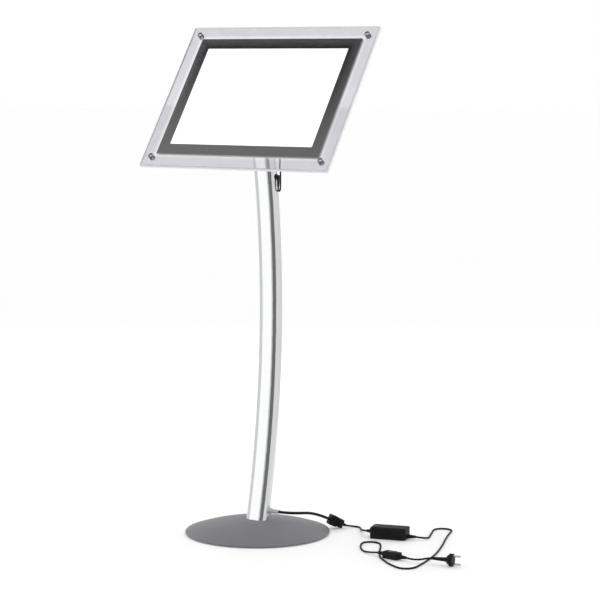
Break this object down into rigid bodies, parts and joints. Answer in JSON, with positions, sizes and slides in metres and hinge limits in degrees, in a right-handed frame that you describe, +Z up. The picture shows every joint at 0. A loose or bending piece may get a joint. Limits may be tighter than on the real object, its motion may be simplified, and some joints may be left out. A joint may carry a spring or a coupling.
{
  "type": "lit menu board stand",
  "caption": "Free-standing edge-lit menu board: a clear panel with a dark-bordered window that tilts on a bent flat-oval post over a domed round base, with power pack, cord switch and plug.",
  "frame": {"origin": "on the floor under the centre of the round base", "axes": "+Z up, +X to the viewer's right along the panel, +Y to the back"},
  "size_m": [0.8759, 0.4607, 1.2547],
  "materials": {
    "satin_grey_paint": "satin powder coat",
    "cast_weight": "as cast",
    "black_rubber": "matt",
    "zinc_steel": "zinc plated",
    "anodised_aluminium": "satin anodised",
    "grey_gland": "moulded",
    "black_cord": "satin sheath",
    "bracket_paint": "satin",
    "washer_fibre": "matt",
    "clear_acrylic": "polished clear sheet",
    "dark_border": "printed film behind the clear sheet",
    "blank_poster": "backlit film",
    "lamp_board": "white lamp board",
    "white_film": "matt film",
    "grey_back": "fine grained moulding",
    "green_board": "circuit board",
    "turned_cap": "turned",
    "black_plastic": "fine grained moulding",
    "rocker_plastic": "moulded",
    "green_lens": "tinted lens",
    "contact_brass": "pressed strip",
    "nickel_pin": "nickel plated"
  },
  "bodies": {
    "root": {"base_cover": "satin_grey_paint", "base_weight": "cast_weight", "base_feet": "black_rubber", "post_bolts": "zinc_steel", "foot_block": "anodised_aluminium", "post_tube": "anodised_aluminium", "post_head": "anodised_aluminium", "head_screws": "zinc_steel", "upper_jack": "black_rubber", "jack_plug": "black_rubber", "lower_gland": "grey_gland", "post_lead": "black_cord", "panel_lead": "black_cord", "post_tail": "black_cord", "coupling_socket": "black_plastic", "coupling_plug": "black_plastic", "pack_lead": "black_cord", "pack_base": "black_plastic", "pack_lid": "black_plastic", "pack_board": "green_board", "pack_lens": "green_lens", "pack_reliefs": "black_plastic", "mains_lead": "black_cord", "switch_base": "black_plastic", "switch_lid": "black_plastic", "switch_contacts": "contact_brass", "switch_reliefs": "black_plastic", "plug_lead": "black_cord", "plug_body": "black_plastic", "plug_pins": "nickel_pin"},
    "panel": {"tilt_bracket": "bracket_paint", "friction_washers": "washer_fibre", "pivot_bolt": "zinc_steel", "pivot_nut": "zinc_steel", "bracket_screws": "zinc_steel", "front_cover": "clear_acrylic", "mask_frame": "dark_border", "poster": "blank_poster", "light_guide": "clear_acrylic", "led_strip_top": "lamp_board", "led_strip_bottom": "lamp_board", "reflector": "white_film", "rear_cover": "grey_back", "rear_cover_screws": "zinc_steel", "junction_board": "green_board", "panel_gland": "black_rubber", "corner_studs": "turned_cap", "corner_spacers": "white_film"},
    "cap_tl": {"corner_cap_tl": "turned_cap"},
    "cap_tr": {"corner_cap_tr": "turned_cap"},
    "cap_bl": {"corner_cap_bl": "turned_cap"},
    "cap_br": {"corner_cap_br": "turned_cap"},
    "rocker": {"switch_rocker": "rocker_plastic"}
  },
  "joints": [
    {"name": "panel_tilt", "type": "hinge", "parent": "root", "child": "panel", "pos_m": [0, 0.0189, 1.024], "axis": [1, 0, 0], "range_deg": [-30, 30], "deforming": ["panel_lead"]},
    {"name": "cap_tl_turn", "type": "hinge", "parent": "panel", "child": "cap_tl", "pos_m": [-0.2455, 0.11279, 1.23575], "axis": [0, -0.809, 0.5878], "continuous": true},
    {"name": "cap_tr_turn", "type": "hinge", "parent": "panel", "child": "cap_tr", "pos_m": [0.2455, 0.11279, 1.23575], "axis": [0, -0.809, 0.5878], "continuous": true},
    {"name": "cap_bl_turn", "type": "hinge", "parent": "panel", "child": "cap_bl", "pos_m": [-0.2455, -0.10351, 0.93803], "axis": [0, -0.809, 0.5878], "continuous": true},
    {"name": "cap_br_turn", "type": "hinge", "parent": "panel", "child": "cap_br", "pos_m": [0.2455, -0.10351, 0.93803], "axis": [0, -0.809, 0.5878], "continuous": true},
    {"name": "rocker_press", "type": "hinge", "parent": "root", "child": "rocker", "pos_m": [0.427, -0.071, 0.0145], "axis": [0.1564, 0.9877, 0], "range_deg": [0, 14]}
  ]
}
